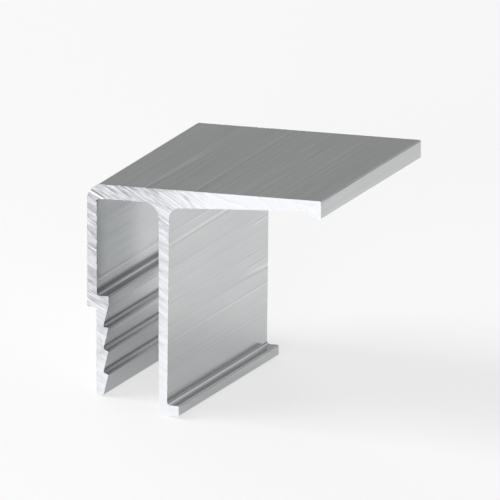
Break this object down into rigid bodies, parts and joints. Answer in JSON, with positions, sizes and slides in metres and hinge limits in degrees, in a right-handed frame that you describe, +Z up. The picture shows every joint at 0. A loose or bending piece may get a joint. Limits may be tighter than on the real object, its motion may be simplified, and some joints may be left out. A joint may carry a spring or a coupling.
{
  "type": "stretch ceiling profile",
  "caption": "Short sawn length of extruded aluminium stretch ceiling profile: wide lipped flange over a harpoon channel with a hooked, toothed leg and a footed stem.",
  "frame": {"origin": "on the floor, in the middle of the leaning profile's bounding box: it stands on the toothed leg's tip and the stem's heel", "axes": "+Y along the extrusion, from the front cut to the back cut; +X towards the flange's lip; +Z up. The section leans 12.16 degrees about Y, so the flange rises towards the lip"},
  "size_m": [0.0246, 0.03, 0.0263],
  "materials": {
    "profile_aluminium": "mill-finish extruded faces with fine lengthwise die lines, and bright sawn ends"
  },
  "bodies": {
    "root": {"ceiling_profile": "profile_aluminium"}
  },
  "joints": []
}
